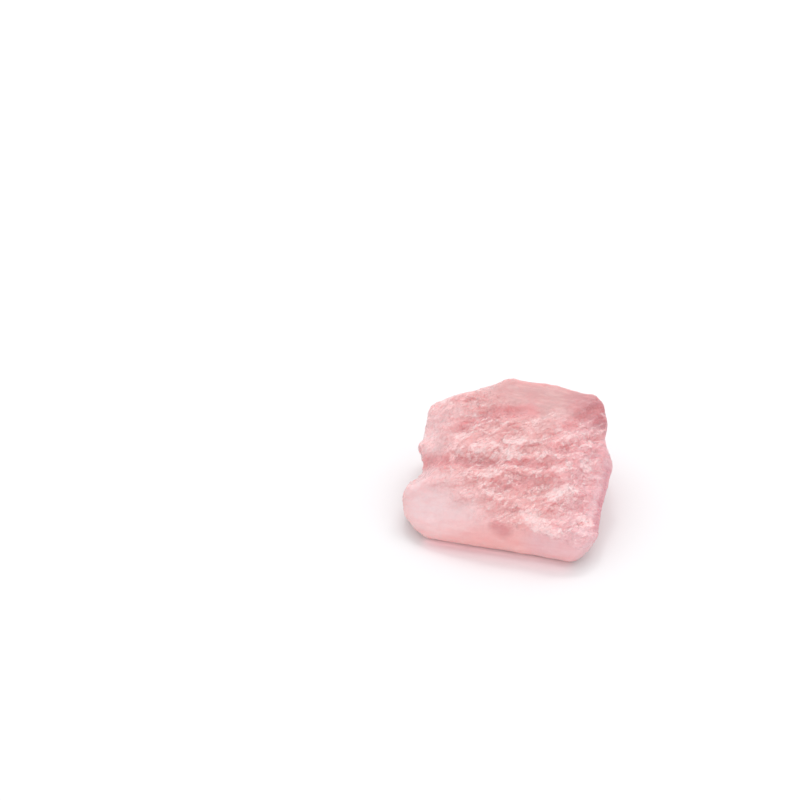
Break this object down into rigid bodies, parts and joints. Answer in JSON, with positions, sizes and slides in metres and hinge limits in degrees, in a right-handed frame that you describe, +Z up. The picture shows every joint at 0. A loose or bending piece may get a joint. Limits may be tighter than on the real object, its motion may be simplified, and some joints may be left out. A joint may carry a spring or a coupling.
{
  "type": "rose quartz chunk",
  "caption": "Rough chunk of pink rose quartz, hackly on top with smoother sides, lying on a flat face.",
  "frame": {"origin": "centre of the bounding box of the stone, at the level of the flat face that it lies on", "axes": "+X along the stone's longest side, to the right as it lies in the picture, +Y away from the viewer, +Z up"},
  "size_m": [0.0516, 0.0468, 0.0256],
  "materials": {
    "rose_quartz": "satin"
  },
  "bodies": {
    "root": {"rose_quartz_chunk": "rose_quartz"}
  },
  "joints": []
}
